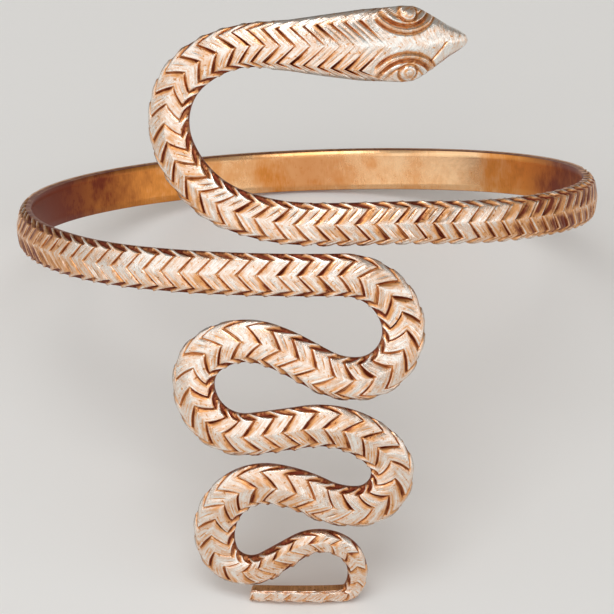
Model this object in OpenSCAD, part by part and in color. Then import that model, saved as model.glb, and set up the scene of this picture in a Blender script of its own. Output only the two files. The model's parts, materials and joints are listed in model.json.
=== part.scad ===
// Upper arm cuff in the form of a snake, cast in one piece from copper alloy and bent to the arm.
// The flat-backed body goes once round the arm. Above the ring it loops back to the head, and
// below it an S-shaped coil runs down the arm to the tail.
// X runs across the arm, +Y is the back of the arm, +Z is up. The cuff leans back as it rests:
// the last run of the tail and the back of the ring both touch the plane z = 0.

/* [Ring] */
// Inside diameter of the ring, the size of the arm
arm_d = 76; // [66:1:90]

/* [Body] */
// Width of the body across its flat inner face
body_w = 6; // [5:0.1:7]
// Thickness of the body from its inner face to its ridge
body_t = 2; // [1.6:0.1:2.6]
// Clear gap between the two turns of the body where they pass each other at the front
turn_gap = 0.85; // [0.5:0.05:1.2]

/* [Scales] */
// Length of one row of scales along the body
scale_pitch = 2.6; // [2.4:0.1:3.4]
// Depth of the grooves between the rows
scale_depth = 0.35; // [0.2:0.05:0.5]
// Angle between the arm of a scale and the line of the body
scale_angle = 47; // [42:1:60]

/* [Head] */
// Length of the head, from the snout to the first row of scales
head_l = 12.2; // [10:0.1:15]
// Width of the head across the eyes
head_w = 10.3; // [8.5:0.1:12]
// Thickness of the head at the eyes
head_t = 2.7; // [2.2:0.1:3.4]
// Length of the neck, along which the head narrows to the body
neck_l = 19; // [15:0.5:22]
// Diameter of each eye
eye_d = 2.4; // [1.8:0.1:2.8]

/* [Tail] */
// Length along which the tail tapers
tail_l = 46; // [38:1:50]
// Width of the tail at its end
tail_w = 1.9; // [1.6:0.1:2.6]
// Thickness of the tail at its end
tail_t = 1.6; // [1.3:0.1:1.9]

/* [Coil] */
// Radius to which the lower part of the coil curls in towards the arm
curl_r = 66; // [60:1:90]

/* [Hidden] */

arm_r = arm_d / 2;
// One turn of the body and the gap next to it: the unit of the route
lane = body_w + turn_gap;

// The route is laid out flat on the unrolled arm: x is the way round it and y the way up.
// Each row is [length in lanes, turn to the left in degrees].
// From the snout to the front of the ring
head_route = [[4.05, 0], [1.6, 41], [1.75, 75], [1.7, 45], [1.5, 19]];
// From the front of the ring down the coil to the tip of the tail, whose last run is level
coil_route = [
    [1.55, -71], [1.65, -105], [0.8, -33], [0.5, 0],
    [0.6, 10], [1.35, 60], [0.7, 54], [1.65, 94], [1.05, 0],
    [1.7, -58], [1.55, -130], [0.8, -30],
    [0.9, 20], [0.9, 53], [1.45, 69], [1.15, 104], [0.75, 0],
    [1.4, -113], [0.65, -39], [0.25, -65], [1.8, 0]
];
// Where the ring takes over from the neck's loop, and where it gives way to the coil, in lanes
ring_start = 0.1;
ring_end = 0.65;
// Level stretches at the start and the end of the ring, in lanes
ring_level = [1.3, 4];
// Between them the body first steps down a little and runs nearly level round the side
ring_side = [[0.9, -3.3], [0.7, 0], [2, 2.4], [6, 0]];
// Bends before and after the sloping back, in lanes
ring_ease = [3, 2];
laid_side = stretches(ring_side, h = 0);
side_last = laid_side[len(laid_side) - 1];
side_end = along(side_last, side_last[4]);
// In one turn the ring comes down by one lane, and the back takes what the side leaves of it
ring_run = PI * arm_d + (ring_end - ring_start) * lane;
ring_back = ring_run - side_end[0]
    - (ring_level[0] + ring_level[1] + ring_ease[0] + ring_ease[1]) * lane;
ring_slope = atan((lane + side_end[1] + ring_ease[0] / 2 * lane * tan(side_end[2]))
    / (ring_back + (ring_ease[0] + ring_ease[1]) / 2 * lane));
ring_route = concat(
    [[ring_level[0], 0]], ring_side,
    [[ring_ease[0], -ring_slope - side_end[2]], [ring_back / cos(ring_slope) / lane, 0],
        [ring_ease[1], ring_slope], [ring_level[1], 0]]
);
route = concat(head_route, ring_route, coil_route);
// Height at which the coil begins to curl in, in lanes below the upper turn
curl_start = -2.55 * lane;

// Sections: [share across the half width, share of the thickness, sweep of the scale arm,
// groove across, groove down]. The sweep is 1 at the corner, where the arm turns back.
section = [
    [-1, 0, 0, 0, 0],
    [-0.93, 0.5, 0, 0.5, 0],
    [-0.78, 0.8, 1, 0.5, -0.8],
    [-0.38, 0.93, 0.5, 0, -1],
    [0, 1, 0, 0, -1],
    [0.38, 0.93, 0.5, 0, -1],
    [0.78, 0.8, 1, -0.5, -0.8],
    [0.93, 0.5, 0, -0.5, 0],
    [1, 0, 0, 0, 0],
    [0, 0, 0, 0, 0]
];
// Rings of one row of scales: [share of the pitch, height as a share of the groove's depth]
scale_rings = [[0, 0], [0.2, 0.8], [0.78, 1]];
// The scales of the neck are this much shorter than those of the body
neck_scale = 0.75;

// Head: [share of its length from the snout, share of its half width, share of its thickness]
head_plan = [
    [0, 0.09, 0.45], [0.04, 0.17, 0.52], [0.11, 0.26, 0.6], [0.25, 0.41, 0.72],
    [0.46, 0.71, 0.86], [0.6, 0.9, 0.96], [0.68, 0.98, 1], [0.8, 1, 1], [1, 0.965, 0.97]
];
// Neck: [share of its length, share of what the head is wider than the body,
// share of what it is thicker]
neck_plan = [[0, 1, 1], [0.15, 0.92, 0.8], [0.42, 0.56, 0.45], [0.65, 0.22, 0.15], [1, 0, 0]];
// Tail: [share of its length from the tip, share of the change from the tip to the body in
// width, share of the change in thickness]
tail_plan = [[0, 0, 0], [0.24, 0.05, 0.1], [0.36, 0.2, 0.25], [0.55, 0.38, 0.5],
    [0.78, 0.65, 0.8], [1, 1, 1]];

// Rings across the plain part of the head, each this many times as fine as a section
head_rings = 24;
head_fine = 3;
// Eyes and brows: places and sizes as shares of the head's length and half width
eye_at = [0.78, 0.79];
eye_rise = 0.3;
brow_at = [0.79, 1.15];
brow_r = 0.85;
brow_w = 0.16;
brow_rise = 0.14;

// Shares of a row of a table, read in a straight line between its rows
function mix(a, b, t) = a + (b - a) * t;
function read(table, x, column) = lookup(x, [for (row = table) [row[0], row[column]]]);

// Start of each stretch of the route: [distance, x, y, heading, length, turn]
function stretches(rows, i = 0, s = 0, x = 0, y = 0, h = 180) =
    i == len(rows) ? [] :
    let (l = rows[i][0] * lane, a = rows[i][1], p = along([s, x, y, h, l, a], l))
    concat([[s, x, y, h, l, a]], stretches(rows, i + 1, s + l, p[0], p[1], p[2]));
// Point and heading at a distance d into a stretch
function along(k, d) =
    let (turn = k[5] * d / k[4], h = k[3])
    abs(k[5]) < 0.001
        ? [k[1] + d * cos(h), k[2] + d * sin(h), h]
        : let (r = k[4] / k[5] * 180 / PI)
          [k[1] + r * (sin(h + turn) - sin(h)), k[2] - r * (cos(h + turn) - cos(h)), h + turn];

laid = stretches(route);
laid_end = laid[len(laid) - 1];
body_l = laid_end[0] + laid_end[4];
// The first turn of the ring is level at y = 0 and starts ring_start lanes right of the middle
laid_ring = laid[len(head_route)];
shift = [ring_start * lane - laid_ring[1], -laid_ring[2]];
function find(s, i = 0) = i < len(laid) - 1 && s >= laid[i + 1][0] ? find(s, i + 1) : i;
// Place on the unrolled arm of the point at distance s and offset b to the left
function flat(s, b) =
    let (k = laid[find(s)], p = along(k, s - k[0]))
    [p[0] + shift[0] - b * sin(p[2]), p[1] + shift[1] + b * cos(p[2])];
// Wraps the unrolled arm, with a height n over its surface. Below curl_start it curls in.
function wrap(p, n) =
    let (
        turn = p[0] / arm_r * 180 / PI,
        curl = max(curl_start - p[1], 0) / curl_r * 180 / PI,
        in = curl_r * (1 - cos(curl)),
        up = curl > 0 ? curl_start - curl_r * sin(curl) : p[1]
    )
    [
        arm_r * sin(turn) + n * sin(turn) * cos(curl),
        in - arm_r * cos(turn) - n * cos(turn) * cos(curl),
        up - n * cos(turn) * sin(curl)
    ];

// Half width and thickness at a distance s from the snout
function half_width(s) =
    s < head_l ? head_w / 2 * read(head_plan, s / head_l, 1) :
    s < head_l + neck_l ? mix(body_w / 2, head_w / 2 * head_plan[len(head_plan) - 1][1],
        read(neck_plan, (s - head_l) / neck_l, 1)) :
    s > body_l - tail_l ? mix(tail_w / 2, body_w / 2, read(tail_plan, (body_l - s) / tail_l, 1)) :
    body_w / 2;
function thickness(s) =
    s < head_l ? head_t * read(head_plan, s / head_l, 2) :
    s < head_l + neck_l ? mix(body_t, head_t * head_plan[len(head_plan) - 1][2],
        read(neck_plan, (s - head_l) / neck_l, 2)) :
    s > body_l - tail_l ? mix(tail_t, body_t, read(tail_plan, (body_l - s) / tail_l, 2)) :
    body_t;

// How far the corner of a scale lies behind its apex, as a share of the half width
sweep = 0.78 / tan(scale_angle);
// The scale arms grow to their full sweep along the head
function sweep_at(s) = sweep * min(1, s / head_l) * half_width(s);

// Rise of the eyes and brows over the head at a distance s and offset b
function rise(s, b) =
    let (
        unit = head_w / 2,
        eye = norm([s - eye_at[0] * head_l, abs(b) - eye_at[1] * unit]) / (eye_d / 2),
        brow = norm([s - brow_at[0] * head_l, abs(b) - brow_at[1] * unit]) - brow_r * unit
    )
    eye < 1 ? eye_rise * eye_d * sqrt(1 - eye * eye) :
    brow_rise * unit * max(0, 1 - abs(brow) / (brow_w * unit));

// One ring of points round the body: s is its apex, high its height in the scales
function ring(s, high, rows, bumps = false) = [
    for (q = rows)
        let (
            at = s + sweep_at(s) * q[2],
            groove = scale_depth * (1 - high),
            b = half_width(at) * q[0] + groove * q[3],
            n = thickness(at) * q[1] + groove * q[4],
            bump = bumps && q[1] > 0.45 ? rise(at, b) : 0
        )
        wrap(flat(at, b), n + bump)
];
// The section with each side cut into head_fine parts
fine_section = [
    for (i = [0:len(section) - 1], j = [0:head_fine - 1])
        mix(section[i], section[(i + 1) % len(section)], j / head_fine)
];

// Apexes of the rows of scales, short at the neck and full along the body
neck_count = round(neck_l / (scale_pitch * neck_scale));
neck_pitch = neck_l / neck_count;
body_from = head_l + neck_l;
// The last row keeps clear of the tip, by the sweep of its arms
body_to = body_l - tail_w * (sweep + 0.2);
body_count = round((body_to - body_from) / scale_pitch);
body_pitch = (body_to - body_from) / body_count;
scale_starts = concat(
    [for (i = [0:neck_count - 1]) [head_l + i * neck_pitch, neck_pitch]],
    [for (i = [0:body_count - 1]) [body_from + i * body_pitch, body_pitch]]
);

head_loops = [
    for (i = [0:head_rings - 1]) ring(head_l * i / head_rings, 1, fine_section, true)
];
scale_loops = [
    for (start = scale_starts, r = scale_rings) ring(start[0] + r[0] * start[1], r[1], section)
];
tip_loop = [for (q = section) wrap(flat(body_l, q[0] * tail_w / 2), q[1] * tail_t)];
body_loops = concat(scale_loops, [ring(body_to, 0, section), tip_loop]);

// Faces between loops of n points that start at a and b
function band(a, b, n) = [
    for (i = [0:n - 1])
        let (j = (i + 1) % n)
        each [[a + i, a + j, b + i], [a + j, b + j, b + i]]
];
// Faces from a fine loop at a to a plain one of n points at b
function seam(a, b, n, f) = [
    for (i = [0:n - 1])
        let (j = (i + 1) % n, half = ceil(f / 2))
        each concat(
            [for (k = [0:f - 1])
                [a + i * f + k, a + (i * f + k + 1) % (n * f), k < half ? b + i : b + j]],
            [[a + i * f + half, b + j, b + i]]
        )
];

n_fine = len(fine_section);
n_plain = len(section);
fine_total = head_rings * n_fine;
fine_last = fine_total - n_fine;
plain_last = fine_total + (len(body_loops) - 1) * n_plain;
snake_points = [for (loop = concat(head_loops, body_loops)) each loop];
snake_faces = concat(
    [[for (i = [n_fine - 1:-1:0]) i]],
    [for (i = [0:head_rings - 2]) each band(i * n_fine, (i + 1) * n_fine, n_fine)],
    seam(fine_last, fine_total, n_plain, head_fine),
    [for (i = [0:len(body_loops) - 2])
        each band(fine_total + i * n_plain, fine_total + (i + 1) * n_plain, n_plain)],
    [[for (i = [0:n_plain - 1]) plain_last + i]]
);

// Rest: the cuff leans back until the ring touches the plane on which the tail stands,
// and rolls a little until both ends of the tail's last run stand on it
foot_edge = [for (s = [laid_end[0], body_l]) wrap(flat(s, half_width(s)), 0)];
foot = foot_edge[0];
lean = min([for (p = snake_points) if (p[1] > 0) atan2(p[2] - foot[2], p[1] - foot[1])]);
function leaned(p) = [
    p[0], p[1] * cos(lean) + p[2] * sin(lean), p[2] * cos(lean) - p[1] * sin(lean)
];
foot_dir = leaned(foot_edge[1]) - leaned(foot_edge[0]);
roll = atan(foot_dir[2] / foot_dir[0]);
function rolled(p) = [
    p[0] * cos(roll) + p[2] * sin(roll), p[1], p[2] * cos(roll) - p[0] * sin(roll)
];
rest_points = [for (p = snake_points) rolled(leaned(p))];
function middle(v) = (min(v) + max(v)) / 2;
origin = [
    middle([for (p = rest_points) p[0]]), middle([for (p = rest_points) p[1]]),
    min([for (p = rest_points) p[2]])
];

module snake() {
    color("#c98a5e")
        polyhedron([for (p = rest_points) p - origin], snake_faces);
}

snake();
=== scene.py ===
# %% [markdown]
# # A cast snake cuff for the upper arm
# One strip of copper alloy is cast flat with its scales on, bent into a coil, and wrapped round the arm.
# This lesson makes it in the same order: a flat strip, its relief, the bends, the wrap, and the rest pose.

# %% Load the frame
import json
import math

import bmesh
import bpy
import numpy as np
from mathutils import Matrix, Vector, noise

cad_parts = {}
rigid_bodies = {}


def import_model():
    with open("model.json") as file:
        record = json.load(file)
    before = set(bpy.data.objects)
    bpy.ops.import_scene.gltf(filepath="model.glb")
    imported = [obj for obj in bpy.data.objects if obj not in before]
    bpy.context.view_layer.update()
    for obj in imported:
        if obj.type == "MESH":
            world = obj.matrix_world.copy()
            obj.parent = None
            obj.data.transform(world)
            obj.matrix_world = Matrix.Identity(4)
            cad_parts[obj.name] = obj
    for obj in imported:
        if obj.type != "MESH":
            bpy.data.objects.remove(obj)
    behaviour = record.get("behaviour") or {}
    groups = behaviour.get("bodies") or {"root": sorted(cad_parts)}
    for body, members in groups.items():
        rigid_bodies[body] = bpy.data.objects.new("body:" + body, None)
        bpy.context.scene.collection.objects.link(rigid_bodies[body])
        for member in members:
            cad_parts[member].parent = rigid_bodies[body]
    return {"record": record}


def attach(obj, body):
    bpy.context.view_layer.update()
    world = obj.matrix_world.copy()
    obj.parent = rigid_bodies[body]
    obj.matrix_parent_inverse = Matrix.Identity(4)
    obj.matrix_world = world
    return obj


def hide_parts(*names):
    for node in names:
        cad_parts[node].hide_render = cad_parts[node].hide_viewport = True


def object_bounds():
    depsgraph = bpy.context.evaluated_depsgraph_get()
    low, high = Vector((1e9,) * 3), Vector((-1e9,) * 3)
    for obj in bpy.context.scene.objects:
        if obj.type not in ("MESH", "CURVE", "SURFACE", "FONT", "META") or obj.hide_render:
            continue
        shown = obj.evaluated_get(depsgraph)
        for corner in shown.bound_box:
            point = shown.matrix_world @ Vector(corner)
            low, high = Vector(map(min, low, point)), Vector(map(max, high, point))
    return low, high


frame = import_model()
cad_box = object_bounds()
MM = 0.001
print("CAD box, mm:", [[round(c / MM, 2) for c in corner] for corner in cad_box])

# %% [markdown]
# ## Sizes
# The driving sizes are those of the cuff's solid, in millimetres. A lane is one turn of the body and the
# gap next to it, and the route counts in lanes, so the bends follow the body's width.

# %% Sizes
ARM_R = 38.0
BODY_W = 6.0
BODY_T = 2.0
TURN_GAP = 0.85
LANE = BODY_W + TURN_GAP
HEAD_L = 12.2
HEAD_W = 10.3
HEAD_T = 2.7
NECK_L = 19.0
TAIL_L = 46.0
TAIL_W = 1.9
TAIL_T = 1.6
SCALE_PITCH = 2.6
NECK_SCALE = 0.75
SCALE_ANGLE = math.radians(47)
SCALE_DEPTH = 0.45
print("One lane is", LANE, "mm wide")

# %% [markdown]
# ## Route
# On the unrolled arm the body is a chain of straight runs and round bends. Each row is a length in lanes
# and a turn to the left in degrees, from the snout down to the tip of the tail. A chain of arcs is how a
# jeweller bends a strip round pegs, and it keeps the width even, which a free curve would not.

# %% Route
HEAD_ROUTE = [(4.05, 0), (1.6, 41), (1.75, 75), (1.7, 45), (1.5, 19)]
COIL_ROUTE = [
    (1.55, -71), (1.65, -105), (0.8, -33), (0.5, 0),
    (0.6, 10), (1.35, 60), (0.7, 54), (1.65, 94), (1.05, 0),
    (1.7, -58), (1.55, -130), (0.8, -30),
    (0.9, 20), (0.9, 53), (1.45, 69), (1.15, 104), (0.75, 0),
    (1.4, -113), (0.65, -39), (0.25, -65), (1.8, 0),
]
# Where the ring starts and ends, in lanes to the right of the front's middle, its level first and last
# stretch, its side, and the lengths of the two easy bends into and out of the fall round its back
RING_START, RING_END = 0.1, 0.65
RING_LEVEL = (1.3, 4)
RING_SIDE = [(0.9, -3.3), (0.7, 0), (2, 2.4), (6, 0)]
RING_EASE = (3, 2)
# Below this height the cuff curls in, with this radius
CURL_START = -2.55 * LANE
CURL_R = 66.0
# A stretch with less turn is straight
LEAST_TURN = 1e-5


def follow(x, y, heading, length, turn, d):
    """Point and heading at a distance d into a stretch. It also takes arrays."""
    swept = turn * d / length
    straight = np.abs(turn) < LEAST_TURN
    radius = length / np.where(straight, 1.0, turn)
    bent_x = radius * (np.sin(heading + swept) - np.sin(heading))
    bent_y = -radius * (np.cos(heading + swept) - np.cos(heading))
    out_x = x + np.where(straight, d * np.cos(heading), bent_x)
    out_y = y + np.where(straight, d * np.sin(heading), bent_y)
    return out_x, out_y, heading + swept


def lay(rows, heading=math.pi):
    """Start of each stretch, as distance, x, y, heading, length and turn, and the end of the last."""
    s, x, y = 0.0, 0.0, 0.0
    laid = []
    for lanes, degrees in rows:
        length, turn = lanes * LANE, math.radians(degrees)
        laid.append((s, x, y, heading, length, turn))
        x, y, heading = follow(x, y, heading, length, turn, length)
        s += length
    return np.array(laid), (s, x, y, heading)


# In one turn the ring comes down by one lane, and the back takes what the side leaves of it
ring_run = 2 * math.pi * ARM_R + (RING_END - RING_START) * LANE
_, (_, side_x, side_y, side_slope) = lay(RING_SIDE, 0.0)
ring_back = ring_run - side_x - (sum(RING_LEVEL) + sum(RING_EASE)) * LANE
back_fall = LANE + side_y + RING_EASE[0] / 2 * LANE * math.tan(side_slope)
ring_slope = math.atan(back_fall / (ring_back + sum(RING_EASE) / 2 * LANE))
RING_ROUTE = [(RING_LEVEL[0], 0)] + RING_SIDE + [
    (RING_EASE[0], -math.degrees(ring_slope + side_slope)),
    (ring_back / math.cos(ring_slope) / LANE, 0),
    (RING_EASE[1], math.degrees(ring_slope)), (RING_LEVEL[1], 0),
]

laid, (body_l, *_) = lay(HEAD_ROUTE + RING_ROUTE + COIL_ROUTE)
ring_first = laid[len(HEAD_ROUTE)]
laid[:, 1] += RING_START * LANE - ring_first[1]
laid[:, 2] -= ring_first[2]
ring_from = laid[len(HEAD_ROUTE), 0]
ring_half = ring_from + ring_run / 2
ring_to = laid[-len(COIL_ROUTE), 0]
print(f"The strip is {body_l:.1f} mm long, in {len(laid)} stretches")


def stretch_at(s):
    """Rows of the laid route that distances from the snout fall in."""
    return laid[np.clip(np.searchsorted(laid[:, 0], s, side="right") - 1, 0, len(laid) - 1)]


def flat(s, b):
    """Point of the unrolled arm at distance s from the snout and offset b to the left."""
    k = stretch_at(s)
    x, y, heading = follow(k[:, 1], k[:, 2], k[:, 3], k[:, 4], k[:, 5], s - k[:, 0])
    return x - b * np.sin(heading), y + b * np.cos(heading)


def heading_at(s):
    """Direction of the strip on the unrolled arm at distance s."""
    k = stretch_at(s)
    return k[:, 3] + k[:, 5] * (s - k[:, 0]) / k[:, 4]


# %% [markdown]
# ## Wrap and rest
# The flat strip goes round the arm, and its lower end curls in. The solid's record says where the arm's
# axis is once the cuff leans back at rest, so the same turn is used here and nothing is fitted by eye.

# %% Wrap and rest
arm_mount = next(m for m in frame["record"]["mounts"] if m["name"] == "arm")
arm_up = Vector(arm_mount["axis"]).normalized()
arm_right = Vector((arm_up.z, 0, -arm_up.x)).normalized()
arm_turn = Matrix((arm_right, arm_up.cross(arm_right), arm_up)).transposed()
arm_middle = Vector(arm_mount["pos_m"]) / MM
RING_MIDDLE = Vector((0, 0, -LANE / 2))


def wrap(x, y, n):
    """Wraps the unrolled arm, with a height n over its surface."""
    turn = x / ARM_R
    curl = np.maximum(CURL_START - y, 0) / CURL_R
    inward = CURL_R * (1 - np.cos(curl))
    up = np.where(curl > 0, CURL_START - CURL_R * np.sin(curl), y)
    return np.stack([
        (ARM_R + n * np.cos(curl)) * np.sin(turn),
        inward - (ARM_R + n * np.cos(curl)) * np.cos(turn),
        up - n * np.cos(turn) * np.sin(curl),
    ], axis=1)


def rest(points):
    """Turns points of the worn cuff, in mm, into its rest pose, in metres. It is flat where it stands."""
    turned = (points - np.array(RING_MIDDLE)) @ np.array(arm_turn).T
    placed = (turned + np.array(arm_middle)) * MM
    placed[:, 2] = np.maximum(placed[:, 2], 0)
    return placed


print("Arm's axis leans", round(math.degrees(arm_up.angle(Vector((0, 0, 1)))), 2), "degrees")

# %% [markdown]
# ## Outline of the body
# The head widens to the eyes and narrows along the neck, and the tail tapers. Short tables hold a few
# shares of the length, read in straight lines between, as a maker marks a strip before filing it.

# %% Outline of the body
# Each row is a share of the length, then of the width and of the thickness. Those of the neck and the
# tail are shares of the difference between the stretch's two ends
HEAD_PLAN = np.array([
    (0, 0.09, 0.45), (0.04, 0.17, 0.52), (0.11, 0.26, 0.6), (0.25, 0.41, 0.72),
    (0.46, 0.71, 0.86), (0.6, 0.9, 0.96), (0.68, 0.98, 1), (0.8, 1, 1), (1, 0.965, 0.97),
])
NECK_PLAN = np.array([(0, 1, 1), (0.15, 0.92, 0.8), (0.42, 0.56, 0.45), (0.65, 0.22, 0.15), (1, 0, 0)])
TAIL_PLAN = np.array([
    (0, 0, 0), (0.24, 0.05, 0.1), (0.36, 0.2, 0.25), (0.55, 0.38, 0.5), (0.78, 0.65, 0.8), (1, 1, 1),
])


def read(plan, share, column):
    """A column of a table, read in straight lines between its rows."""
    return np.interp(share, plan[:, 0], plan[:, column])


def girth(s, column, head, body, tip):
    """Half width or thickness at a distance s from the snout."""
    on_head = head * read(HEAD_PLAN, s / HEAD_L, column)
    behind_head = head * HEAD_PLAN[-1, column]
    on_neck = body + (behind_head - body) * read(NECK_PLAN, (s - HEAD_L) / NECK_L, column)
    on_tail = tip + (body - tip) * read(TAIL_PLAN, (body_l - s) / TAIL_L, column)
    return np.where(s < HEAD_L, on_head, np.where(s < body_l / 2, on_neck, on_tail))


def half_width(s):
    return girth(s, 1, HEAD_W / 2, BODY_W / 2, TAIL_W / 2)


def thickness(s):
    return girth(s, 2, HEAD_T, BODY_T, TAIL_T)


end_widths = [round(2 * float(half_width(s)), 2) for s in (HEAD_L, body_l)]
print("Width behind the head and at the tip, mm:", end_widths)

# %% [markdown]
# ## Section
# The back of the strip is flat, to lie on the arm. The front rises to a low ridge, breaks at a corner and
# drops over a narrow band to a plain side wall. Each row of the table is one point of the section: its
# share of the half width, its share of the thickness, how far the scale is swept back there, how deep the
# relief is, how far the relief bites inward, and how far the scale has narrowed to its pointed end. The
# back has its own points, so the edges stay crisp.

# %% Section
CORNER = 0.71
RIDGE_TO_EDGE = [
    (0, 1, 0, 0.5, 0, 0), (0.05, 0.998, 0.07, 0.65, 0, 0), (0.13, 0.986, 0.19, 0.9, 0, 0),
    (0.25, 0.962, 0.36, 1, 0, 0), (0.37, 0.935, 0.53, 1, 0, 0), (0.49, 0.905, 0.7, 1, 0, 0),
    (0.6, 0.872, 0.86, 1, 0, 0), (0.67, 0.845, 0.95, 1, 0, 0.1), (CORNER, 0.82, 1, 1, 0.2, 0.3),
    (0.78, 0.77, 0.76, 1, 0.5, 0.55), (0.88, 0.67, 0.38, 0.9, 0.9, 0.74), (0.99, 0.52, 0, 0.6, 1.2, 0.9),
    (0.94, 0.38, 0, 0, 0.5, 0.85), (0.935, 0.06, 0, 0, 0.2, 0.8), (0.91, 0, 0, 0, 0, 0),
]
BACK = [(share, 0, 0, 0, 0, 0) for share in (0.6, 0.2, -0.2, -0.6)]
left_half = [(-a, up, sweep, deep, -bite, narrow) for a, up, sweep, deep, bite, narrow in RIDGE_TO_EDGE]
SECTION = np.array(left_half[::-1] + RIDGE_TO_EDGE[1:] + BACK)
AROUND = len(SECTION)
# Side walls lie below this share of the thickness
WALL_TOP = 0.45
# Place of the ridge among the section's points, and of the front's last point
RIDGE_AT = len(RIDGE_TO_EDGE) - 1
FACE_SPAN = 2 * RIDGE_AT
# Counted in points from the edge of the back, what belongs to the back, to the wall, and to its tarnish
BACK_END, WALL_END, WALL_TONE_END = 0.5, 1.5, 2.5
print("Points round the section:", AROUND)


def section_at(place):
    """Rows of the section at places round it, read in straight lines between its points."""
    ring_places = np.arange(AROUND + 1)
    closed = np.vstack([SECTION, SECTION[:1]])
    return [np.interp(place, ring_places, closed[:, c]) for c in range(closed.shape[1])]


# %% [markdown]
# ## Scales
# One row of scales is a chevron between two cut grooves. One wall of each groove is steep and has a thin
# rubbed rim. The other is soft, with oxide at the groove and painted shade up its slope, below the next
# rim, where light from above leaves shade. Which wall is which follows the side that faces down on the worn
# cuff.
# The rings of the mesh follow the chevrons, so a few rings per row cut clean grooves where an even mesh
# would need ten times as many.

# %% Rows of scales
# Distance from the groove as a share of the pitch, then depth and tone of the steep and the soft wall. The
# soft wall's tone is oxide at the groove and painted shade up its slope
SCALE_WALLS = np.array([
    (0, 1, 1, 1, 1), (0.045, 0.75, 1, 0.95, 1), (0.075, 0.1, 0.5, 0.8, 0.96),
    (0.105, -0.33, 0, 0.65, 0.84), (0.19, -0.33, 0, 0.3, 0.54), (0.24, 0.03, 0.1, 0.18, 0.4),
    (0.44, 0, 0, 0.02, 0.06), (0.5, 0, 0, 0, 0),
])
PHASES = np.concatenate([SCALE_WALLS[:, 0], 1 - SCALE_WALLS[-2:0:-1, 0]])
SWEEP = CORNER / math.tan(SCALE_ANGLE)
# The chevrons flatten out over this length at the tip, and the last groove leaves a bit of plain metal
TIP_EASE = 1.6
TIP_PLAIN = 0.4

neck_rows = round(NECK_L / (SCALE_PITCH * NECK_SCALE))
body_from = HEAD_L + NECK_L
body_to = body_l - TIP_PLAIN
body_rows = round((body_to - body_from) / SCALE_PITCH)
row_starts = np.concatenate([
    np.linspace(HEAD_L, body_from, neck_rows, endpoint=False),
    np.linspace(body_from, body_to, body_rows + 1),
])
row_pitch = np.diff(row_starts)
print("Rows of scales:", len(row_pitch))


def sweep_at(s):
    """How far the chevrons are swept back at their corners, in mm."""
    ease = np.minimum(s / HEAD_L, (body_l - s) / TIP_EASE)
    return SWEEP * np.clip(ease, 0, 1) * half_width(s)


# %% [markdown]
# ## Places on the cuff
# The scales aren't alike all along. From the front to the right of the arm their ends wrap over the side
# walls, on the outer side of a bend they are drawn out, and the ring's left side is rubbed down. Each such
# place is a soft step, written as where it starts and how long it takes, so one formula serves them all.

# %% Places on the cuff
# Soft steps along the sine of the angle round the arm, towards the right or the left
HOOK_SIDE, RIGHT_END = (-0.3, 0.3), (0.55, 0.3)
LEFT_SIDE, LEFT_END = (0.1, 0.4), (0.8, 0.15)
# The same along the cosine, towards the back, and along a bend's turn in radians a millimetre
BACK_SIDE = (0, 0.25)
TIGHT_BEND = (0.03, 0.05)


def step(x, start, ease):
    """A soft step from 0 to 1 that begins at start and takes the length ease."""
    t = np.clip((x - start) / ease, 0, 1)
    return t * t * (3 - 2 * t)


def bump(x, width):
    """A smooth rise of height 1 and the given half width."""
    t = np.clip(np.abs(x) / width, 0, 1)
    return (1 - t * t) ** 2


def round_arm(s):
    """Sine and cosine of the angle round the arm, from the front, and whether it is on the ring."""
    turn = flat(s, 0)[0] / ARM_R
    return np.sin(turn), np.cos(turn), (s > ring_from) & (s < ring_to)


def hooked(s):
    """How far the ends of the scales wrap over the side walls: fully from the front to the right of the
    arm, on the ring's first half, where the body leaves the loop."""
    right, front, on_ring = round_arm(s)
    return on_ring * (s < ring_half) * step(right, *HOOK_SIDE) * (1 - step(-front, *BACK_SIDE))


def outside_bend(s, side):
    """How much a side is the outer one of a bend, where the ends of the scales are drawn out."""
    k = stretch_at(s)
    return step(-side * k[:, 5] / k[:, 4], *TIGHT_BEND)


print(f"The scales wrap over the side walls for {hooked(np.arange(body_l)).sum():.0f} mm")

# %% [markdown]
# ## Grooves
# A groove isn't an even line. On the lower half of the strip it widens from the ridge outwards, on the
# upper half towards the ridge, and along the neck outwards on both. It could be sculpted scale by scale.
# Formulas of the place are used instead, because they hold for every row and are easy to change.

# %% Grooves
# Soft step at which a wall turns from soft to steep, by how far it faces down
STEEP_AT = (0.3, 0.4)
# Width of a groove as least and added share, and how far the lower half's closes again near its end
GROOVE_SLIM, GROOVE_SWELL = 0.15, 0.95
END_SHUT, END_SHUTS = 0.45, (0.7, 0.3)
# The core of a groove is cut to the bottom: its height, and its half width as least and added share
CORE_TOP, CORE_SLIM, CORE_SWELL = 1.3, 0.025, 0.09
# A second line runs along the steep wall of the lower half: tarnish, place, half width, share of depth
INNER_LINE, INNER_AT, INNER_W, INNER_DEPTH = 0.25, 0.25, 0.09, 0.4
# Slim grooves are paler: least tone and what the width adds
TONE_SLIM, TONE_SWELL = 0.5, 0.6


def steepness(s, phase, side):
    """How steep a groove's wall is: 1 where it faces down on the worn cuff, 0 where it faces up."""
    heading = heading_at(s)
    tilt = math.sin(SCALE_ANGLE) * np.sin(heading) - side * math.cos(SCALE_ANGLE) * np.cos(heading)
    # The wall that faces up is the soft one, and gets the painted shade below the rim of the steep one
    return step(0.5 - 0.5 * np.sign(phase - 0.5) * tilt, *STEEP_AT)


def groove_width(reach, lower, neck):
    """Width of a groove as a share, at a reach from the ridge, 0, to the corner, 1."""
    widening = reach * (1 - END_SHUT * step(reach, *END_SHUTS))
    lens = lower * widening + (1 - lower) * (1 - reach)
    return GROOVE_SLIM + GROOVE_SWELL * (lens * (1 - neck) + reach * neck)


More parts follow.
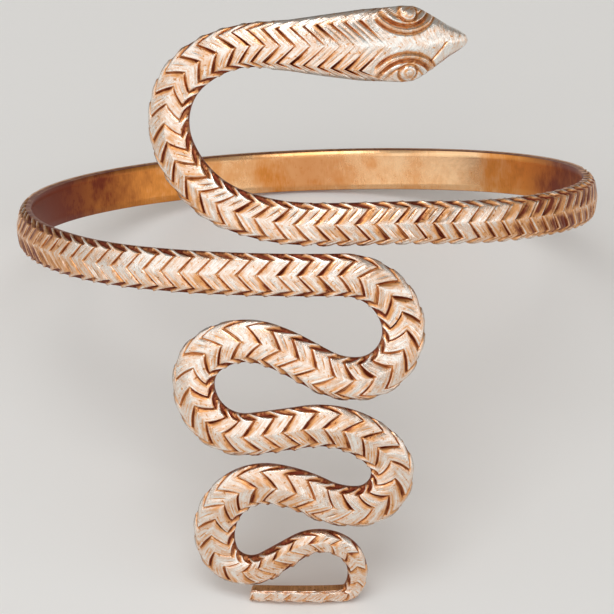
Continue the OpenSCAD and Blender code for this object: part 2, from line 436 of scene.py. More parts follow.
def groove_walls(off, width, steep, lower):
    """Depth and tone at a distance off the groove, mixed from its steep and its soft wall: oxide and
    painted shade.
    """
    steep_depth, steep_tone, soft_depth, soft_oxide_and_shade = (read(SCALE_WALLS, off, c) for c in range(1, 5))
    core = np.clip(CORE_TOP - off / (CORE_SLIM + CORE_SWELL * width), 0, 1)
    line = INNER_LINE * lower * bump(off - INNER_AT, INNER_W)
    depth = (steep_depth + INNER_DEPTH * line) * steep + np.maximum(soft_depth * width, core) * (1 - steep)
    tone = (steep_tone + line) * steep + np.maximum(soft_oxide_and_shade * width, core) * (1 - steep)
    return depth, tone * np.clip(TONE_SLIM + TONE_SWELL * width, 0, 1)


lower_widths = groove_width(np.array([0, 1]), 1, 0)
print("Groove's width at the ridge and the corner, lower half:", lower_widths.round(2))

# %% [markdown]
# ## Relief of the scales
# The pointed ends of the scales leave gaps at the edge, the deepest and darkest places. Wear takes the
# relief away on the middle and the borders of the neck and on the borders of the ring's back. At the
# ring's two ends the faces of the scales get painted shade, darker away from one groove, and a little of
# it where the scales wrap over the walls.

# %% Relief of the scales
# The ring's left side is rubbed down, which leaves its grooves slimmer by this share
LEFT_RUBBED = 0.5
# How much less a scale narrows at its end: where it wraps over the wall, what the lower half adds to that,
# along the lower half of the neck, and on the outer side of a bend
HOOK_ENDS, HOOK_LOWER, NECK_BARS, OUTER_DRAWN = 0.15, 0.35, 0.8, 0.5
GAP_SLOPE = 0.12
# Soft steps in mm after the head: the neck's own way of cutting, its bald middle and its plain borders
# end there
NECK_END, BALD_END, BORDER_END = (10, 8), (0, 13), (13, 5)
BALD_W = 0.6
# The border starts just inside the corner, and further out on the lower half
BAND_FROM, BAND_EASE, BORDER_LOWER = CORNER - 0.03, 0.06, 0.15
# Painted shade on the faces: the even share of it at the ring's ends, and its amount where the scales wrap
# over the walls
SHADE_EVEN, HOOK_SHADE = 0.4, 0.12
# The painted shade grows away from one groove and from the ridge, and ends at the edge and at each groove
SHADE_ALONG, SHADE_OUT, SHADE_EDGE, SHADE_GROOVE = (0.25, 0.55), (0.1, 0.3), (0.8, 0.1), (0.1, 0.1)


def kept_relief(s, across, front, lower):
    """Share of the relief that wear has left."""
    band = np.abs(across) - BAND_FROM
    bald = (1 - step(s - HEAD_L, *BALD_END)) * bump(across, BALD_W)
    border = (1 - step(s - HEAD_L, *BORDER_END)) * step(band, BORDER_LOWER * lower, BAND_EASE)
    behind = step(-front, *BACK_SIDE) * step(band, 0, BAND_EASE)
    return (1 - bald) * (1 - border) * (1 - behind)


def painted_scale_shade(s, phase, across, reach):
    """Painted shade on the faces of the scales, between their rims."""
    right, _, on_ring = round_arm(s)
    ends = np.maximum(step(right, *RIGHT_END), step(-right, *LEFT_END)) * on_ring
    along = np.where(across < 0, phase, 1 - phase)
    shade = step(along, *SHADE_ALONG) * step(reach, *SHADE_OUT)
    painted_shade = ends * (SHADE_EVEN + (1 - SHADE_EVEN) * shade) + HOOK_SHADE * hooked(s) * shade
    return painted_shade * (1 - step(np.abs(across), *SHADE_EDGE)) * step(np.minimum(phase, 1 - phase), *SHADE_GROOVE)


def scale_relief(s, phase, across, narrow, heavy):
    """Depth and tone of the relief as shares, oxide with painted shade, at a phase of the row and a place
    across the strip.
    """
    right, front, on_ring = round_arm(s)
    side = np.sign(across)
    lower = 0.5 - 0.5 * side * np.cos(heading_at(s))
    reach = np.clip(np.abs(across) / CORNER, 0, 1)
    neck = 1 - step(s - HEAD_L, *NECK_END)
    off = np.minimum(phase, 1 - phase)
    heavy = heavy * (1 - LEFT_RUBBED * on_ring * step(-right, *LEFT_SIDE))
    width = groove_width(reach, lower, neck) * heavy
    depth, tone = groove_walls(off, width, steepness(s, phase, side), lower)
    narrow = narrow * (1 - hooked(s) * (HOOK_ENDS + HOOK_LOWER * lower))
    narrow = narrow * (1 - NECK_BARS * neck * lower) * (1 - OUTER_DRAWN * outside_bend(s, side))
    gap = np.clip((0.5 * narrow - off) / GAP_SLOPE, 0, 1)
    kept = kept_relief(s, across, front, lower)
    # The tone is oxide in the grooves and gaps, plus painted shade on the faces of the scales
    return np.maximum(depth, gap) * kept, np.maximum(tone, gap) * kept + painted_scale_shade(s, phase, across, reach)


# %% [markdown]
# ## Head relief
# Two eyes stand near the edges, each with a lid and a heavy brow that sweep round it, and one cut line
# parts the nose from the head. They are soft steps and rings added to the height, each a formula of the
# distance from its centre, which is how a die cutter would turn them.

# %% Head relief
HEAD_MIDDLE = -0.2
HEAD_TARNISH = 0.75
EYE_AT = (9.2, 4.05)
BALL_R, BALL_H = 1.1, 0.6
BROW_AT = (9.4, 6.4)
# Lines cut round the brow's centre: distance from it, half width, depth and tarnish
BROW_LINE, LID_LINE, LID_EDGE = (5.15, 0.26, 0.2, 1), (4.1, 0.3, 0.3, 1), (3.12, 0.2, 0.18, 0.7)
# The same round the eye's centre, and the nose line, which lies aslant: place, slant and its spread
MOAT, IRIS = (BALL_R + 0.12, 0.26, 0.22, 1), (0.6, 0.22, 0.09, 0.4)
NOSE_LINE = (0, 0.2, 0.22, 1)
NOSE_AT, NOSE_SLANT, NOSE_SPREAD = 3.65, 0.9, 1.34
# Soft steps: the lid's edge starts clear of the ball, the moat ends at the lid, the nose line at its ends
LID_CLEAR, MOAT_END, NOSE_START, NOSE_END = (0.1, 0.3), (3.6, 0.5), (0, 0.3), (2.3, 0.6)
# Bands raised round the brow's centre: distance from it, half width and height
BROW_RIDGE, LID = (4.66, 0.5, 0.42), (3.6, 0.45, 0.32)
RIDGE_TONE = 0.26


def head_rise(s, b):
    """Height that the eyes, brows and cut lines add to the head, in mm, and the tarnish in them."""
    off_middle = b - HEAD_MIDDLE
    side = np.abs(off_middle)
    eye = np.hypot(s - EYE_AT[0], side - EYE_AT[1])
    arc = np.hypot(s - BROW_AT[0], side - BROW_AT[1])
    nose = (s - NOSE_AT - NOSE_SLANT * off_middle) / NOSE_SPREAD
    ball = BALL_H * np.sqrt(np.clip(1 - (eye / BALL_R) ** 2, 0, 1))
    ridge = bump(arc - BROW_RIDGE[0], BROW_RIDGE[1])
    lid = bump(arc - LID[0], LID[1])
    rise = np.where(eye < BALL_R, ball, BROW_RIDGE[2] * ridge + LID[2] * lid)
    tone = RIDGE_TONE * ridge
    cuts = [
        (arc, BROW_LINE, 1), (arc, LID_LINE, 1), (arc, LID_EDGE, step(eye - BALL_R, *LID_CLEAR)),
        (eye, MOAT, 1 - step(arc, *MOAT_END)), (eye, IRIS, 1),
        (nose, NOSE_LINE, step(off_middle, *NOSE_START) * (1 - step(side, *NOSE_END))),
    ]
    for distance, (at, width, depth, dark), there in cuts:
        line = bump(distance - at, width) * there
        rise = rise - depth * line
        tone = tone + dark * line
    return rise, HEAD_TARNISH * np.clip(tone, 0, 1)


eye_top = head_rise(EYE_AT[0], EYE_AT[1] + HEAD_MIDDLE)[0]
print("Top of the eye's ball over the head, mm:", round(float(eye_top), 2))

# %% [markdown]
# ## Hand of the caster
# A cast surface is never quite even. Each half of a row differs a little in height, in place and in slant,
# in how dark, how deep and how wide its grooves are, and in whether a line is engraved along it. The random
# numbers have a seed, so the cuff is the same each time.

# %% Hand of the caster
CAST_SEED = 7
# Spread of the height, the place and the slant, in mm
ROW_LIFT, ROW_SHIFT, ROW_SKEW = 0.04, 0.08, 0.13
# Least and most of the grooves' tone, depth and width
ROW_TONE, ROW_CUT, ROW_HEAVY = (0.65, 1.15), (0.7, 1.15), (0.4, 1.3)
# Share of half rows with an engraved line, and its least and most depth
LINED_SHARE, ROW_LINE = 0.5, (0.2, 0.5)
# The first rows of the neck all have the line
NECK_LINED, NECK_LINE = 4, 0.35
# Below the loop the upper half of each scale has a strong one: middle after the loop's end, length, depth
HATCH_AT, HATCH_L, HATCH_LINE = -2.0, 32.0, 0.9
# Some stretches of scales are duller than others: amount, and rows to one wave of noise
ROW_DULL, DULL_ROWS = 0.15, 3.5
# The two sides lie apart in the noise, which is read on one plane
SIDES_APART, NOISE_PLANE = 10, 0.5

rng = np.random.default_rng(CAST_SEED)
half_rows = (2, len(row_pitch) + 1)
row_lift = rng.normal(0, ROW_LIFT, half_rows)
row_shift = rng.normal(0, ROW_SHIFT, half_rows)
row_skew = rng.normal(0, ROW_SKEW, half_rows)
row_tone = rng.uniform(*ROW_TONE, half_rows)
row_cut = rng.uniform(*ROW_CUT, half_rows)
row_heavy = rng.uniform(*ROW_HEAVY, half_rows)
row_line = np.where(rng.random(half_rows) < LINED_SHARE, rng.uniform(*ROW_LINE, half_rows), 0)
row_line[:, :NECK_LINED] = NECK_LINE
row_line[1, :-1][np.abs(row_starts[:-1] - ring_from - HATCH_AT) < HATCH_L / 2] = HATCH_LINE
row_dull = ROW_DULL * np.array([
    [max(0, noise.noise((row / DULL_ROWS, SIDES_APART * side, NOISE_PLANE))) for row in range(half_rows[1])]
    for side in (0, 1)
])
print("Half rows with an engraved line:", np.count_nonzero(row_line))

# %% [markdown]
# ## From the section to the strip
# A point of the strip is known by its distance from the snout and its place round the section. From these
# come its height, its relief and its share of tarnish and painted shade, and then the bends and the wrap
# move it to its spot.
# On the last run of the tail the side walls stand higher, and the scales are cut deeper and more aslant.
# They leave its upper edge plain and its lower edge toothed.

# %% From the section to the strip
SNOUT_L, TIP_L = 0.5, 0.35
# The ends are rounded towards this height, and the least share keeps them open for a cap
END_HEIGHT, END_LEAST = 0.5, 0.02
LAST_RUN, LAST_RUN_EASE = 15.0, 5.0
LAST_SQUARE = 0.65
LAST_SLANT = 0.9
LAST_RUBBED = 0.5
LAST_TEETH = 0.7
UPPER_EDGE = (0.8, 0.15)
# The foot of a side wall isn't raised
WALL_FOOT = 0.1
# Where the strip is slim its grooves are shallower: least share of the depth, and what the last run adds
LEAST_CUT, LAST_CUT = 0.45, 0.3
# Along the tail the ridge lies nearer the upper edge: distance from the tip, and its place across
TAIL_RIDGE = np.array([
    (0, -0.8), (12, -0.8), (15, -0.2), (18, 0), (24, 0.1), (29, 0.4), (34, 0.4), (40, 0),
])
# The head's relief fades out after the head and down its sides
HEAD_FADE, SIDE_FADE = (1.1, 0.4), 0.2
# Low waves of the cast surface: height, and their length along and over the strip, in mm
WAVE_H, WAVE_ALONG, WAVE_OVER = 0.05, 0.5, 1.4
# Tarnish and painted shade keep to the relief, by how deep it is cut and how far it bites inward
DEEP_TONE, BITE_TONE = 1.2, 0.8


def on_last_run(s):
    """Soft step from 0 to 1 where the tail's last run begins."""
    return step(s - body_l, -LAST_RUN, LAST_RUN_EASE)


def hammered(s, b):
    """Low random waves of the cast surface, in mm."""
    return WAVE_H * np.array([noise.noise((x / WAVE_ALONG, y / WAVE_OVER, NOISE_PLANE))
                              for x, y in zip(s.tolist(), b.tolist())])


def shape(s, place, depth, tone, lift, shift):
    """Places the points of the strip. depth and tone are the relief's shares there, and lift and shift
    raise and move it, in mm."""
    across, up, sweep, deep, bite, _ = section_at(place)
    bite = bite * np.where(up < WALL_TOP, hooked(s), 1)
    last = on_last_run(s)
    upper_edge = last * step(-across, *UPPER_EDGE)
    deep = deep * (1 - upper_edge)
    bite = bite * (1 - upper_edge) * (1 + LAST_TEETH * last * (across > 0))
    across = across + read(TAIL_RIDGE, body_l - s, 1) * (1 - np.abs(across))
    up = np.where(up > WALL_FOOT, up ** (1 - LAST_SQUARE * last), up)
    at = np.clip(s + sweep_at(s) * (1 + LAST_SLANT * last) * sweep + shift * deep, 0, body_l)
    cut = SCALE_DEPTH * depth * np.clip(half_width(at) / (BODY_W / 2), LEAST_CUT + LAST_CUT * last, 1)
    b = half_width(at) * across - cut * bite
    n = thickness(at) * up - cut * deep
    rise, head_tone = head_rise(at, b)
    on_head = (1 - step(at - HEAD_L, *HEAD_FADE)) * np.clip((up - WALL_TOP) / SIDE_FADE, 0, 1)
    n = n + on_head * rise + (lift + hammered(s, half_width(at) * across)) * deep
    near_end = np.clip(np.minimum(s / SNOUT_L, (body_l - s) / TIP_L), END_LEAST, 1)
    rounded = np.sqrt(1 - (1 - near_end) ** 2)
    b = b * rounded
    n = END_HEIGHT + (n - END_HEIGHT) * rounded
    x, y = flat(at, b)
    relief = np.clip(deep * DEEP_TONE + np.abs(bite) * BITE_TONE, 0, 1)
    groove = np.clip(tone * relief * (1 - LAST_RUBBED * last) + on_head * head_tone, 0, 1)
    return rest(wrap(x, y, n)), groove, np.stack([s, half_width(s) * across, n], axis=1)


# %% [markdown]
# ## Masks for the finish
# A finish needs to know where it is. Each point keeps its share of tarnish and painted shade, its zone,
# which is back, side wall or scales, and its place on the flat strip, so that polishing marks follow the
# body round its bends.

# %% Masks for the finish
# The side walls are darker than the scales, least along the head and where the scales wrap over them
WALL_DARKNESS, NECK_WALL, HOOK_WALL = 0.8, 0.15, 0.2
GAP_WALL = 0.75
WALL_RUBBED = 0.5
# The ring's inside has a painted highlight towards the right of the back and painted shade towards its
# ends: sine of the angle round the arm, and share of painted shade, below 0 for the highlight
INSIDE_LIGHT_AND_SHADE = np.array([
    (-1, 1.1), (-0.84, 0.9), (-0.7, 0.5), (-0.25, 0.06), (0, 0.28), (0.2, 0.04), (0.4, -0.14),
    (0.6, -0.14), (0.72, 0.2), (0.85, 0.6), (1, 0.9),
])


def wall_tone(s, tone):
    """How dark the side walls are, with the gaps between scales where these wrap over them."""
    wall = NECK_WALL + (WALL_DARKNESS - NECK_WALL) * step(s - HEAD_L, 0, NECK_L)
    wall = wall * (1 - WALL_RUBBED * on_last_run(s))
    return wall + hooked(s) * (HOOK_WALL + GAP_WALL * np.clip(tone, 0, 1) - wall)


def painted_inside_light(s):
    """Painted highlight and shade on the strip's back, which is the ring's inside."""
    right, _, on_ring = round_arm(s)
    return read(INSIDE_LIGHT_AND_SHADE, right, 1) * on_ring


def strip_grid(bm, rings, points):
    """A flat grid of rings and section points. Returns its vertices with their ring and point."""
    made = bmesh.ops.create_grid(bm, x_segments=rings - 1, y_segments=points, size=1)["verts"]
    co = np.array([v.co for v in made])
    ring = np.rint((co[:, 0] + 1) / 2 * (rings - 1)).astype(int)
    point = np.rint((co[:, 1] + 1) / 2 * points).astype(int)
    return made, ring, point


def settle(bm, verts, s, place, depth, tone, lift, shift):
    """Moves grid vertices to their places and keeps the masks that the finish needs."""
    spots, groove, strip = shape(s, place, depth, tone, lift, shift)
    from_edge = np.minimum(place, FACE_SPAN - place)
    zone = np.where(from_edge < BACK_END, 0.0, np.where(from_edge < WALL_END, 0.5, 1.0))
    left_wall = (place > BACK_END) & (place < WALL_TONE_END)
    right_wall = (place > FACE_SPAN - WALL_TONE_END) & (place < FACE_SPAN)
    # The back's tone is painted highlight and shade
    groove = np.where(zone == 0, painted_inside_light(s), groove)
    groove = np.where(left_wall | right_wall, wall_tone(s, tone), groove)
    groove_layer = bm.verts.layers.float["groove"]
    strip_layer = bm.verts.layers.float_vector["strip"]
    zone_layer = bm.verts.layers.float["zone"]
    for v, spot, g, t, z in zip(verts, spots.tolist(), groove.tolist(), strip.tolist(), zone.tolist()):
        v.co = spot
        v[groove_layer] = g
        v[strip_layer] = t
        v[zone_layer] = z


snake_bm = bmesh.new()
snake_bm.verts.layers.float.new("groove")
snake_bm.verts.layers.float.new("zone")
snake_bm.verts.layers.float_vector.new("strip")
print("Masks:", snake_bm.verts.layers.float.keys() + snake_bm.verts.layers.float_vector.keys())

# %% [markdown]
# ## Body
# The body starts as a flat grid of rings and section points, made by one operator. Where a grid point goes
# is worked out from its ring and its place round the section, so the whole body is shaped at once.

# %% Body
# A few more rings follow where the last row ends
TIP_RINGS = 5
# Engraved line along the middle of a row: half width, place across and its half length, and tarnish
ENGRAVED_W, ENGRAVED_AT, ENGRAVED_L, ENGRAVED_TONE = 0.06, 0.42, 0.3, 1.4
# A row is uneven off its grooves and off the ridge, where it has to meet its neighbours
RIM_STEADY, RIDGE_STEADY = 0.27, 0.2

ring_row = np.repeat(np.arange(len(row_pitch)), len(PHASES))
ring_phase = np.tile(PHASES, len(row_pitch))
ring_s = row_starts[ring_row] + ring_phase * row_pitch[ring_row]
ring_s = np.concatenate([ring_s, np.linspace(body_to, body_l, TIP_RINGS)])
ring_phase = np.concatenate([ring_phase, np.full(TIP_RINGS, 0.5)])
ring_row = np.concatenate([ring_row, np.full(TIP_RINGS, len(row_pitch))])
body_verts, body_ring, body_point = strip_grid(snake_bm, len(ring_s), AROUND)
body_place = body_point.astype(float)
across, *_, narrow = section_at(body_place)
half_row = ((body_point > RIDGE_AT).astype(int), ring_row[body_ring])
phase = ring_phase[body_ring]
depth, tone = scale_relief(ring_s[body_ring], phase, across, narrow, row_heavy[half_row])
over = bump(np.abs(across) - ENGRAVED_AT, ENGRAVED_L)
engraved = bump(phase - 0.5, ENGRAVED_W) * over * row_line[half_row]
loose = step(np.minimum(phase, 1 - phase), 0, RIM_STEADY) * step(np.abs(across), 0, RIDGE_STEADY)
depth = depth * row_cut[half_row] + engraved
tone = tone * row_tone[half_row] + row_dull[half_row] + ENGRAVED_TONE * engraved
lift = row_lift[half_row] * loose
shift = (row_shift[half_row] + row_skew[half_row] * np.abs(across)) * loose
settle(snake_bm, body_verts, ring_s[body_ring], body_place, depth, tone, lift, shift)
print("Vertices in the body:", len(body_verts))

# %% [markdown]
# ## Head
# The head is a second, finer grid, because its eyes are smaller than a scale. Its rings are plain, with a
# last steep fall into the neck's first groove, so that the two grids meet.

# %% Head
HEAD_RINGS = 110
HEAD_FINE = 3
SNOUT_RINGS = [0, 0.02, 0.06, 0.13, 0.25]
HEAD_FROM = 0.4
# Lengths before the neck: from where the head falls, and of the last step over to it
HEAD_FALL, HEAD_STEP = 0.3, 0.06

head_s = np.concatenate([SNOUT_RINGS, np.linspace(HEAD_FROM, HEAD_L - HEAD_STEP, HEAD_RINGS)])
head_verts, head_ring, head_point = strip_grid(snake_bm, len(head_s), AROUND * HEAD_FINE)
head_place = head_point / HEAD_FINE
head_at = head_s[head_ring]
across, *_, narrow = section_at(head_place)
still = np.zeros(len(head_at))
neck_depth, neck_tone = scale_relief(np.full(len(head_at), HEAD_L), still, across, narrow, 1)
fall = step(head_at, HEAD_L - HEAD_FALL, HEAD_FALL - HEAD_STEP)
settle(snake_bm, head_verts, head_at, head_place, fall * neck_depth, fall * neck_tone, still, still)
print("Vertices in the strip:", len(snake_bm.verts))

# %% [markdown]
# ## One closed solid
# The long edges of both grids meet on the back, so merging doubles closes them to tubes. A bridge joins
# the fine head to the body, and the two small ends are filled. Then the normals are made to point out.

# %% One closed solid
WELD = 1e-7
bmesh.ops.remove_doubles(snake_bm, verts=snake_bm.verts, dist=WELD)
head_end = {v for v, ring in zip(head_verts, head_ring) if v.is_valid and ring == len(head_s) - 1}
body_start = {v for v, ring in zip(body_verts, body_ring) if v.is_valid and ring == 0}
open_edges = [e for e in snake_bm.edges if e.is_boundary]
joint = [e for e in open_edges if set(e.verts) <= head_end or set(e.verts) <= body_start]
bmesh.ops.bridge_loops(snake_bm, edges=joint)
ends = [e for e in snake_bm.edges if e.is_boundary]
bmesh.ops.holes_fill(snake_bm, edges=ends, sides=0)
bmesh.ops.recalc_face_normals(snake_bm, faces=snake_bm.faces)
left_open = sum(1 for e in snake_bm.edges if not e.is_manifold)
print("Faces:", len(snake_bm.faces), "open edges:", left_open)

snake_mesh = bpy.data.meshes.new("snake_casting")
snake_bm.to_mesh(snake_mesh)
snake_bm.free()
snake_mesh.shade_smooth()
casting = bpy.data.objects.new("snake_casting", snake_mesh)
bpy.context.scene.collection.objects.link(casting)
triangles = sum(len(p.vertices) - 2 for p in snake_mesh.polygons)
print("Triangles:", triangles)

# %% [markdown]
# ## Tarnish and painted shade
# Copper darkens to red-brown where polish doesn't reach, and stays bright where it is rubbed. The groove
# attribute holds that, and also painted shade on the scales and painted highlight and shade inside the
# ring. One node group gives the mask of both from the groove attribute and noise, so each finish can use
# it with its own values.

# %% Tarnish
# Inputs of the group with their defaults. Sizes are waves to a metre, and the rest are shares
TARNISH_INPUTS = {"Amount": 0.5, "Size": 900.0, "Grain": 5000.0, "Marks": 1.0, "Pits": 0.5, "Blotches": 0.0}
# Polishing marks lie along the scales, in marks per mm along the strip and across it
MARK_SCALE = (4.5, 0.9, 0.3)
# Noise turns into tarnish and into pits between these values
CLOUD_FROM, CLOUD_TO = 0.85, 1.3
PIT_FROM, PIT_TO = 0.6, 0.72


def node(tree, kind, place, **inputs):
    """A node with its inputs set by name."""
    made = tree.nodes.new(kind)
    made.location = place
    for name, value in inputs.items():
        made.inputs[name.replace("_", " ")].default_value = value
    return made


def both(tree, kind, a, b, place):
    """A math node on two outputs."""
    made = node(tree, "ShaderNodeMath", place)
    made.operation = kind
    tree.links.new(a, made.inputs[0])
    tree.links.new(b, made.inputs[1])
    return made.outputs[0]


def tarnish_and_shade_group():
    """Node group with the mask of the tarnish and the painted shade, and the height of its fine relief."""
    group = bpy.data.node_groups.new("tarnish_and_shade", "ShaderNodeTree")
    for name, default in TARNISH_INPUTS.items():
        socket = group.interface.new_socket(name, in_out="INPUT", socket_type="NodeSocketFloat")
        socket.default_value = default
    for name in ("Mask", "Height"):
        group.interface.new_socket(name, in_out="OUTPUT", socket_type="NodeSocketFloat")
    link = group.links.new
    enter = node(group, "NodeGroupInput", (-1100, 0))
    leave = node(group, "NodeGroupOutput", (700, 0))
    where = node(group, "ShaderNodeTexCoord", (-900, -300))
    groove = node(group, "ShaderNodeAttribute", (-900, 300))
    groove.attribute_name = "groove"
    strip = node(group, "ShaderNodeAttribute", (-1100, -600))
    strip.attribute_name = "strip"
    along_arms = node(group, "ShaderNodeMapping", (-900, -600), Scale=MARK_SCALE)
    link(strip.outputs["Vector"], along_arms.inputs["Vector"])
    cloud = node(group, "ShaderNodeTexNoise", (-650, 0), Detail=4.0, Roughness=0.65)
    grain = node(group, "ShaderNodeTexNoise", (-650, -300), Detail=3.0, Roughness=0.6)
    marks = node(group, "ShaderNodeTexNoise", (-650, -600), Scale=1.0, Detail=3.0, Roughness=0.6)
    for noise_node, size in ((cloud, "Size"), (grain, "Grain")):
        link(where.outputs["Object"], noise_node.inputs["Vector"])
        link(enter.outputs[size], noise_node.inputs["Scale"])
    link(along_arms.outputs["Vector"], marks.inputs["Vector"])

    marked = both(group, "MULTIPLY", marks.outputs["Fac"], enter.outputs["Marks"], (-450, -600))
    clouded = both(group, "ADD", cloud.outputs["Fac"], enter.outputs["Blotches"], (-450, 100))
    mixed = both(group, "ADD", clouded, marked, (-400, -100))
    uneven = node(group, "ShaderNodeMapRange", (-200, 0), From_Min=CLOUD_FROM, From_Max=CLOUD_TO)
    link(mixed, uneven.inputs["Value"])
    spread = both(group, "MULTIPLY", uneven.outputs["Result"], enter.outputs["Amount"], (0, 0))
    pitted = node(group, "ShaderNodeMapRange", (-200, -250), From_Min=PIT_FROM, From_Max=PIT_TO)
    link(grain.outputs["Fac"], pitted.inputs["Value"])
    spots = both(group, "MULTIPLY", pitted.outputs["Result"], enter.outputs["Pits"], (0, -200))
    shaded = both(group, "ADD", spread, spots, (100, 0))
    total = both(group, "ADD", groove.outputs["Fac"], shaded, (200, 100))
    total.node.use_clamp = True
    link(total, leave.inputs["Mask"])
    link(both(group, "ADD", grain.outputs["Fac"], marked, (200, -400)), leave.inputs["Height"])
    return group


tarnish_and_shade = tarnish_and_shade_group()
print("Nodes in the tarnish group:", len(tarnish_and_shade.nodes))

# %% [markdown]
# ## Finishes
# The scales are rubbed pale on their faces and stay dark in the grooves. The back of the strip and its
# side walls are smooth, warm and satin. So there are two finishes, given to the faces by their zone.

# %% Finishes
# Colours from bright over warm, at this share of tarnish, to dark
PALE, WARM, OXIDE = (0.92, 0.905, 0.86), (0.78, 0.38, 0.15), (0.21, 0.045, 0.022)
SATIN, SATIN_WARM = (0.9, 0.58, 0.32), (0.7, 0.27, 0.06)
WARM_STOP = 0.45
BUMP_STRENGTH = 0.6
# A face is satin if all its corners lie below this zone value
SCALE_ZONE = 0.75


def copper(name, colours, roughness, bump_mm, **worn_values):
    """A copper alloy that runs from bright over warm to dark by the mask of tarnish and painted shade, and
    from the first roughness to the second."""
    material = bpy.data.materials.new(name)
    material.use_nodes = True
    tree = material.node_tree
    link = tree.links.new
    shader = tree.nodes["Principled BSDF"]
    shader.inputs["Metallic"].default_value = 1.0
    tarnish_and_shade_node = tree.nodes.new("ShaderNodeGroup")
    tarnish_and_shade_node.node_tree = tarnish_and_shade
    tarnish_and_shade_node.location = (-700, 0)
    for socket, value in worn_values.items():
        tarnish_and_shade_node.inputs[socket].default_value = value
    colour = node(tree, "ShaderNodeValToRGB", (-450, 200))
    bright, warm, dark = colours
    stops = colour.color_ramp.elements
    stops[0].color = (*bright, 1)
    stops[1].color = (*dark, 1)
    stops.new(WARM_STOP).color = (*warm, 1)
    link(tarnish_and_shade_node.outputs["Mask"], colour.inputs["Fac"])
    link(colour.outputs["Color"], shader.inputs["Base Color"])
    sheen = node(tree, "ShaderNodeMapRange", (-450, -100), To_Min=roughness[0], To_Max=roughness[1])
    link(tarnish_and_shade_node.outputs["Mask"], sheen.inputs["Value"])
    link(sheen.outputs["Result"], shader.inputs["Roughness"])
    relief = node(tree, "ShaderNodeBump", (-450, -400), Strength=BUMP_STRENGTH, Distance=bump_mm * MM)
    link(tarnish_and_shade_node.outputs["Height"], relief.inputs["Height"])
    link(relief.outputs["Normal"], shader.inputs["Normal"])
    return material


scale_copper = copper("scale_copper", (PALE, WARM, OXIDE), (0.22, 0.45), 0.06,
                      Amount=0.33, Size=700.0, Grain=2200.0, Marks=1.0, Pits=0.5, Blotches=0.0)
satin_copper = copper("satin_copper", (SATIN, SATIN_WARM, OXIDE), (0.24, 0.42), 0.02,
                      Amount=0.8, Size=90.0, Grain=1500.0, Marks=0.2, Pits=0.1, Blotches=0.3)
casting.data.materials.append(scale_copper)
casting.data.materials.append(satin_copper)
zone_values = np.zeros(len(snake_mesh.vertices))
snake_mesh.attributes["zone"].data.foreach_get("value", zone_values)
for polygon in snake_mesh.polygons:
    polygon.material_index = int(max(zone_values[i] for i in polygon.vertices) < SCALE_ZONE)
print("Satin faces:", sum(polygon.material_index for polygon in snake_mesh.polygons))

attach(casting, "root")
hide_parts("snake")

# %% [markdown]
# ## Floor and light
# A pale floor and five soft lights, as in a small product studio. Wide lights make broad highlights on
# metal, and the darker gaps between them draw the relief.

# %% Floor and light
FLOOR_HALF = 3.0
FLOOR_COLOUR, FLOOR_ROUGHNESS = (0.86, 0.855, 0.84, 1), 0.9
SKY_COLOUR, SKY_STRENGTH = (1.0, 0.97, 0.93, 1), 0.3
# Name, place in metres, width, height and power in watts
LIGHTS = [
    ("front", (-0.45, -0.85, 0.55), 2.4, 1.1, 7.0),
    ("top", (-0.1, -0.25, 0.95), 0.7, 0.4, 2.7),
    ("side", (0.85, -0.6, 0.5), 1.1, 0.9, 2.4),
    ("low_right", (1.05, 0.05, 0.15), 0.9, 0.3, 0.7),
    ("left", (-0.95, 0.25, 0.5), 0.8, 0.9, 1.8),
]

floor_bm = bmesh.new()
bmesh.ops.create_grid(floor_bm, x_segments=1, y_segments=1, size=FLOOR_HALF)
floor_mesh = bpy.data.meshes.new("floor")
floor_bm.to_mesh(floor_mesh)
floor_bm.free()
floor = bpy.data.objects.new("floor", floor_mesh)
bpy.context.scene.collection.objects.link(floor)
floor_paint = bpy.data.materials.new("floor_paint")
floor_paint.use_nodes = True
floor_shader = floor_paint.node_tree.nodes["Principled BSDF"]
floor_shader.inputs["Base Color"].default_value = FLOOR_COLOUR
floor_shader.inputs["Roughness"].default_value = FLOOR_ROUGHNESS
floor_mesh.materials.append(floor_paint)


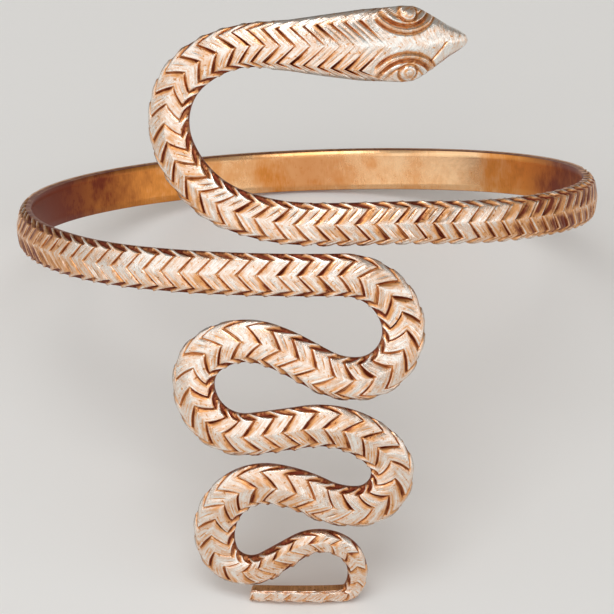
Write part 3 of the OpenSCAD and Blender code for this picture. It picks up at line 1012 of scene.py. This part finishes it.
def soft_light(name, spot, aim, width, height, watts):
    """A rectangular light at a spot, in metres, that faces a point."""
    data = bpy.data.lights.new(name, "AREA")
    data.shape = "RECTANGLE"
    data.size, data.size_y = width, height
    data.energy = watts
    light = bpy.data.objects.new(name, data)
    light.location = spot
    light.rotation_euler = (Vector(aim) - Vector(spot)).to_track_quat("-Z", "Y").to_euler()
    bpy.context.scene.collection.objects.link(light)


middle = sum(cad_box, Vector()) / 2
for name, spot, width, height, watts in LIGHTS:
    soft_light(name, spot, middle, width, height, watts)
world = bpy.data.worlds.new("studio")
world.use_nodes = True
sky = world.node_tree.nodes["Background"]
sky.inputs["Color"].default_value = SKY_COLOUR
sky.inputs["Strength"].default_value = SKY_STRENGTH
bpy.context.scene.world = world
bpy.context.scene.view_settings.view_transform = "Standard"
print("Light in all, watts:", round(sum(watts for *_, watts in LIGHTS), 1))

# %% [markdown]
# ## Camera
# The photo looks at the cuff from about 8 degrees above the plane of the ring, and its distance is taken
# to be a metre. The camera keeps that angle to the cuff as it leans at rest, so it stands well above the
# floor.

# %% Camera
CAMERA_FAR = 1000.0
CAMERA_UP = math.radians(8)
# The camera stands off this point of the arm's axis and looks at the next, in the worn cuff's own axes
STAND_OFF = Vector((0, 0, -5.15))
AIM = Vector((0, -1.63, -16.76))
FRAME_W = 84.7
SENSOR = 36.0
CLIP_END = 10

spot = STAND_OFF + CAMERA_FAR * Vector((0, -math.cos(CAMERA_UP), math.sin(CAMERA_UP)))
camera_data = bpy.data.cameras.new("photo_camera")
camera_data.sensor_width = SENSOR
camera_data.lens = SENSOR * CAMERA_FAR / FRAME_W
camera_data.clip_end = CLIP_END
camera = bpy.data.objects.new("photo_camera", camera_data)
look = (arm_turn @ (spot - AIM)).normalized()
camera_up = look.cross(arm_right)
camera.matrix_world = Matrix.Translation(Vector(rest(np.array([spot]))[0])) @ Matrix(
    (arm_right, camera_up, look)).transposed().to_4x4()
bpy.context.scene.collection.objects.link(camera)
bpy.context.scene.camera = camera
print("Camera's height over the floor, mm:", round(camera.location.z / MM))
